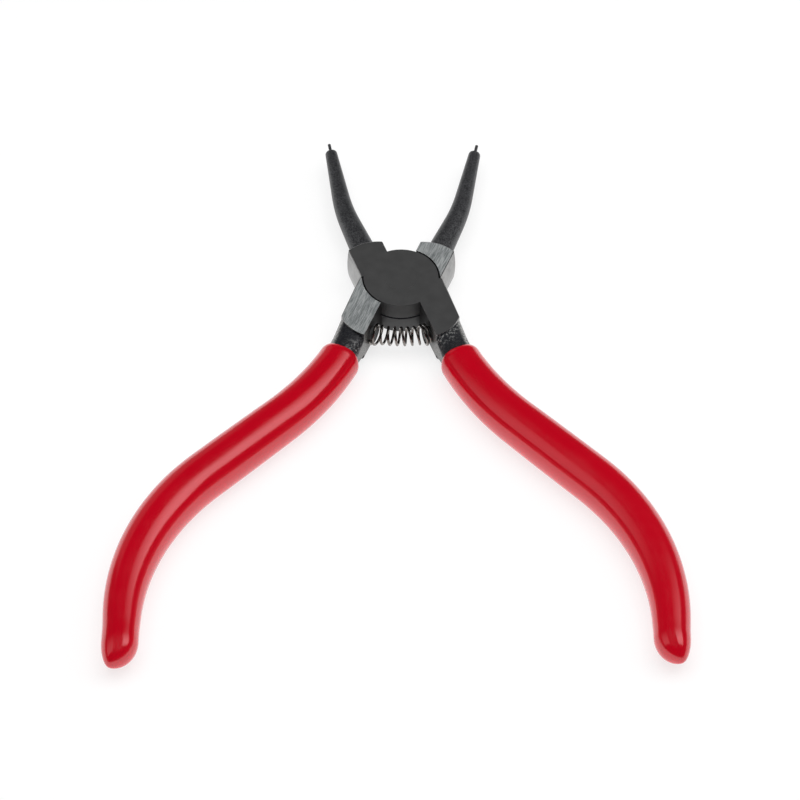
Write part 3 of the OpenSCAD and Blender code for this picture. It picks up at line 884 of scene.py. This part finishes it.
def finishLever(lever, side):
    mesh = lever.data
    work = bmesh.new()
    work.from_mesh(mesh)
    tidyMesh(work)
    work.to_mesh(mesh)
    work.free()
    smoothBelow(mesh, joint["leverCrease"])
    for facet in mesh.polygons:
        facet.use_smooth = abs(facet.normal.z) < joint["flatFrom"]
    mesh.transform(placeHalf(side))
    weighted = lever.modifiers.new("normals", "WEIGHTED_NORMAL")
    weighted.keep_sharp = True
    settle(lever)


for side in ("front", "rear"):
    lever = makeLever(side)
    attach(lever, side + "_half")
    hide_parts(side + "_lever")
    print(lever.name, "made:", len(lever.data.polygons), "faces")

work = bmesh.new()
lathe(work, rivetProfile(0, 0), placeHalf("front"), joint["rivetSides"])
rivet = meshFrom(work, "jointRivet", faceFinish)
smoothBelow(rivet.data, joint["rivetCrease"])
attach(rivet, "rear_half")
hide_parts("joint_rivet")

for side, hand in (("front", "right"), ("rear", "left")):
    coating = sweepBar(hand + "Grip", gripRings(grip["endCoat"][hand]), grip["sides"], redDipFinish)
    coating.data.transform(placeHalf(side))
    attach(coating, side + "_half")
    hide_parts(hand + "_grip")
    print(coating.name, "made:", len(coating.data.polygons), "faces")


# Return spring: a bowed coil whose turns fan out between the legs, with closed, wider end turns

spring = {"turns": 9, "outside": 3.8, "endOutside": 4.4, "wire": 0.5, "endPitch": 0.55, "bow": 0.55,
          "seatGap": 0.1, "stepsPerTurn": 40, "wireSides": 14, "reach": 1.38, "crease": 50}


def springLayout():
    lean = math.radians(joint["openAngle"])
    seatX = joint["legInside"] * math.cos(lean) + joint["springAt"] * math.sin(lean)
    seatY = joint["legInside"] * math.sin(lean) - joint["springAt"] * math.cos(lean)
    chord = seatX - (spring["wire"] / 2 + spring["seatGap"]) / math.cos(lean)
    radius = (chord ** 2 + spring["bow"] ** 2) / (2 * spring["bow"])
    return seatX, seatY, radius, 2 * math.asin(chord / radius)


def makeSpringTree():
    tree, given = geometryTree("bowedCoil", [(label, "NodeSocketFloat") for label in (
        "Turns", "Steps per turn", "Outside radius", "End radius", "Wire radius", "End pitch", "Bow radius",
        "Bow sweep", "Fan", "Seat depth", "Height", "Wire sides")] + [("Finish", "NodeSocketMaterial")])
    op = partial(calc, tree)
    turns, endPitch, bowRadius = given["Turns"], given["End pitch"], given["Bow radius"]
    steps = op("MULTIPLY", turns, given["Steps per turn"])
    line = addNode(tree, "GeometryNodeMeshLine", {"Count": op("ADD", steps, 1)})
    index = tree.nodes.new("GeometryNodeInputIndex").outputs[0]
    turn = op("DIVIDE", index, given["Steps per turn"])
    left = op("SUBTRACT", turns, turn)
    length = op("MULTIPLY", bowRadius, given["Bow sweep"])
    between = op("SUBTRACT", length, op("MULTIPLY", endPitch, 2))
    pitch = op("DIVIDE", between, op("SUBTRACT", turns, 2))
    even = op("MULTIPLY_ADD", op("SUBTRACT", turn, 1), pitch, endPitch)
    atStart = op("MULTIPLY", turn, endPitch)
    atEnd = op("SUBTRACT", length, op("MULTIPLY", left, endPitch))
    advance = op("MINIMUM", op("MAXIMUM", even, atStart), atEnd)
    share = op("MULTIPLY_ADD", op("DIVIDE", advance, length), -2, 1)  # 1 at the start, -1 at the end
    halfSweep = op("MULTIPLY", given["Bow sweep"], 0.5)
    bend = op("MULTIPLY", halfSweep, share)
    fan = op("MULTIPLY", given["Fan"], share)
    inwards = addNode(tree, "ShaderNodeMapRange", {
        "Value": op("MINIMUM", turn, left), "From Min": 1, "From Max": 2, "To Min": given["End radius"],
        "To Max": given["Outside radius"]}, interpolation_type="SMOOTHSTEP").outputs[0]
    coil = op("SUBTRACT", inwards, given["Wire radius"])
    spin = op("MULTIPLY", turn, -math.tau)
    down = op("MULTIPLY", coil, op("COSINE", spin))
    aside = op("MULTIPLY", op("SINE", bend), op("MULTIPLY", bowRadius, -1))
    x = op("SUBTRACT", aside, op("MULTIPLY", down, op("SINE", fan)))
    drop = op("SUBTRACT", op("COSINE", bend), op("COSINE", halfSweep))
    depth = op("SUBTRACT", given["Seat depth"], op("MULTIPLY", bowRadius, drop))
    y = op("SUBTRACT", depth, op("MULTIPLY", down, op("COSINE", fan)))
    z = op("MULTIPLY_ADD", coil, op("SINE", spin), given["Height"])
    spot = addNode(tree, "ShaderNodeCombineXYZ", {"X": x, "Y": y, "Z": z}).outputs[0]
    placed = addNode(tree, "GeometryNodeSetPosition", {"Geometry": line.outputs[0], "Position": spot})
    path = addNode(tree, "GeometryNodeMeshToCurve", {"Mesh": placed.outputs[0]})
    section = addNode(tree, "GeometryNodeCurvePrimitiveCircle", {
        "Resolution": given["Wire sides"], "Radius": given["Wire radius"]})
    wire = addNode(tree, "GeometryNodeCurveToMesh", {
        "Curve": path.outputs[0], "Profile Curve": section.outputs[0], "Fill Caps": True})
    endTree(tree, wire.outputs[0], given["Finish"])
    return tree


def makeSpring():
    s = spring
    seatX, seatY, radius, sweep = springLayout()
    coil = newObject("returnSpring", bpy.data.meshes.new("returnSpring"))
    runTree(coil, makeSpringTree(), {
        "Turns": float(s["turns"]), "Steps per turn": float(s["stepsPerTurn"]),
        "Outside radius": s["outside"] / 2 * mm, "End radius": s["endOutside"] / 2 * mm,
        "Wire radius": s["wire"] / 2 * mm, "Wire sides": float(s["wireSides"]),
        "End pitch": s["endPitch"] * mm, "Bow radius": radius * mm, "Bow sweep": sweep,
        "Fan": math.radians(joint["openAngle"]), "Seat depth": seatY * mm,
        "Height": joint["halfThickness"] * mm, "Finish": wireFinish})
    closeUp(coil.data)
    smoothBelow(coil.data, s["crease"])
    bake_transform(coil)
    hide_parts("return_spring")
    return coil


springPiece = makeSpring()
print("returnSpring made:", len(springPiece.data.polygons), "faces")

for node, finish in (("left_spring_peg", faceFinish), ("right_spring_peg", faceFinish),
                     ("left_tip_pin", oxideFinishes["front"]), ("right_tip_pin", oxideFinishes["rear"])):
    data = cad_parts[node].data
    data.materials.clear()
    data.materials.append(finish)
print("carried-over nodes dressed")


# Floor, light and camera

stage = {"drop": 0.06, "size": 3.0, "albedo": 0.85, "seenAlbedo": 0.25, "glow": 0.76, "mirrorGlow": 1.0,
         "bounce": 1.0, "roughness": 0.9, "specular": 0.0}


def makeFloor():
    low = cadBox[0][2] - stage["drop"] * mm
    half = stage["size"] / 2
    mesh = bpy.data.meshes.new("floor")
    corners = [(-half, -half, low), (half, -half, low), (half, half, low), (-half, half, low)]
    mesh.from_pydata(corners, [], [(0, 1, 2, 3)])
    floor = newObject("floor", mesh)
    material, tree, shader, _ = newMaterial("paleFloor", stage["roughness"])
    shader.inputs["Specular IOR Level"].default_value = stage["specular"]
    light = tree.nodes.new("ShaderNodeLightPath").outputs
    mirrored = calc(tree, "MAXIMUM", light["Is Glossy Ray"], light["Is Transmission Ray"])
    seen = calc(tree, "MAXIMUM", light["Is Camera Ray"], mirrored)
    albedo = ramp(tree, seen, stage["albedo"], stage["seenAlbedo"], 0, 1)
    tree.links.new(albedo, shader.inputs["Base Color"])
    shader.inputs["Emission Color"].default_value = (1, 1, 1, 1)
    glow = ramp(tree, mirrored, ramp(tree, light["Is Camera Ray"], stage["bounce"], stage["glow"], 0, 1),
                stage["mirrorGlow"], 0, 1)
    tree.links.new(glow, shader.inputs["Emission Strength"])
    mesh.materials.append(material)


# Brightness of the room from the horizon up
studio = {"horizon": 0.3, "shoulder": 0.05, "shoulderAt": 0.16, "zenith": 0.02}


def makeWorld():
    world = bpy.data.worlds.new("studio")
    scene.world = world
    world.use_nodes = True
    tree = world.node_tree
    tree.nodes.clear()
    direction = tree.nodes.new("ShaderNodeTexCoord").outputs["Generated"]
    height = addNode(tree, "ShaderNodeSeparateXYZ", {"Vector": direction}).outputs["Z"]
    fade = tree.nodes.new("ShaderNodeValToRGB")
    stops = fade.color_ramp.elements
    stops.new(studio["shoulderAt"])
    for stop, key in zip(stops, ("horizon", "shoulder", "zenith")):
        stop.color = (studio[key],) * 3 + (1,)
    tree.links.new(height, fade.inputs[0])
    room = addNode(tree, "ShaderNodeBackground", {"Color": fade.outputs[0], "Strength": 1.0})
    white = addNode(tree, "ShaderNodeBackground", {"Color": (1, 1, 1, 1), "Strength": 1.0})
    light = tree.nodes.new("ShaderNodeLightPath").outputs
    seen = calc(tree, "MAXIMUM", light["Is Camera Ray"], light["Is Transmission Ray"])
    mix = addNode(tree, "ShaderNodeMixShader", {0: seen, 1: room.outputs[0], 2: white.outputs[0]})
    out = tree.nodes.new("ShaderNodeOutputWorld")
    tree.links.new(mix.outputs[0], out.inputs[0])


# Soft boxes around the pliers, by direction: azimuth from +Y towards +X, and rise from the floor. A box
# fades out over a share of its width at its far end, and the top box lights without being mirrored.
lamps = {"rightBox": {"azimuth": 70, "rise": 53, "distance": 0.7, "size": (0.62, 0.46), "watts": 1.9,
                      "fade": 0.6, "mirrored": True},
         "leftBox": {"azimuth": -92, "rise": 41, "distance": 0.7, "size": (0.62, 0.54), "watts": 0.68,
                     "fade": 0.6, "mirrored": True},
         "backBox": {"azimuth": -36, "rise": 14, "distance": 0.7, "size": (0.36, 0.5), "watts": 0.11,
                     "fade": 0, "mirrored": True},
         "topBox": {"azimuth": 180, "rise": 88, "distance": 0.9, "size": (0.9, 0.9), "watts": 8.0,
                    "fade": 0, "mirrored": False}}


def makeLamps():
    target = Vector(view["target"]) * mm
    for name, lamp in lamps.items():
        data = bpy.data.lights.new(name, "AREA")
        data.shape = "RECTANGLE"
        data.size, data.size_y = lamp["size"]
        data.energy = lamp["watts"]
        azimuth, rise = math.radians(lamp["azimuth"]), math.radians(lamp["rise"])
        flat = math.cos(rise)
        back = Vector((flat * math.sin(azimuth), flat * math.cos(azimuth), math.sin(rise)))
        hand = math.copysign(1, lamp["azimuth"])
        along = Vector((-math.cos(azimuth), math.sin(azimuth), 0)) * hand  # to the back
        obj = newObject(name, data)
        turned = Matrix((along, back.cross(along), back)).transposed().to_4x4()
        obj.matrix_world = Matrix.Translation(target + back * lamp["distance"]) @ turned
        obj.visible_glossy = lamp["mirrored"]
        if lamp["fade"]:
            data.use_nodes = True
            tree = data.node_tree
            across = tree.nodes.new("ShaderNodeNewGeometry").outputs["Parametric"]
            place = addNode(tree, "ShaderNodeSeparateXYZ", {"Vector": across}).outputs["X"]
            strength = ramp(tree, place, 1, 0, 1 - lamp["fade"], 1)
            tree.links.new(strength, tree.nodes["Emission"].inputs["Strength"])


view = {"target": (-0.185, -26.99, 3.75), "elevation": 50.52, "distance": 629.8, "focal": 3407.9,
        "turn": 0.6, "width": 800, "sensor": 36, "clip": (0.01, 10)}


def makeCamera():
    rise = math.radians(view["elevation"])
    target = Vector(view["target"]) * mm
    away = Vector((0, -math.cos(rise), math.sin(rise))) * view["distance"] * mm
    turn = Matrix.Rotation(math.radians(view["turn"]), 4, "Z")
    place, aim = turn @ (target + away), turn @ target
    data = bpy.data.cameras.new("photoCamera")
    data.sensor_width = view["sensor"]
    data.lens = view["focal"] * data.sensor_width / view["width"]
    data.clip_start, data.clip_end = view["clip"]
    camera = newObject("photoCamera", data)
    camera.location = place
    camera.rotation_euler = (aim - place).to_track_quat("-Z", "Y").to_euler()
    scene.camera = camera


makeFloor()
makeWorld()
makeLamps()
makeCamera()
scene.view_settings.view_transform = "Standard"
print("stage, light and camera set")
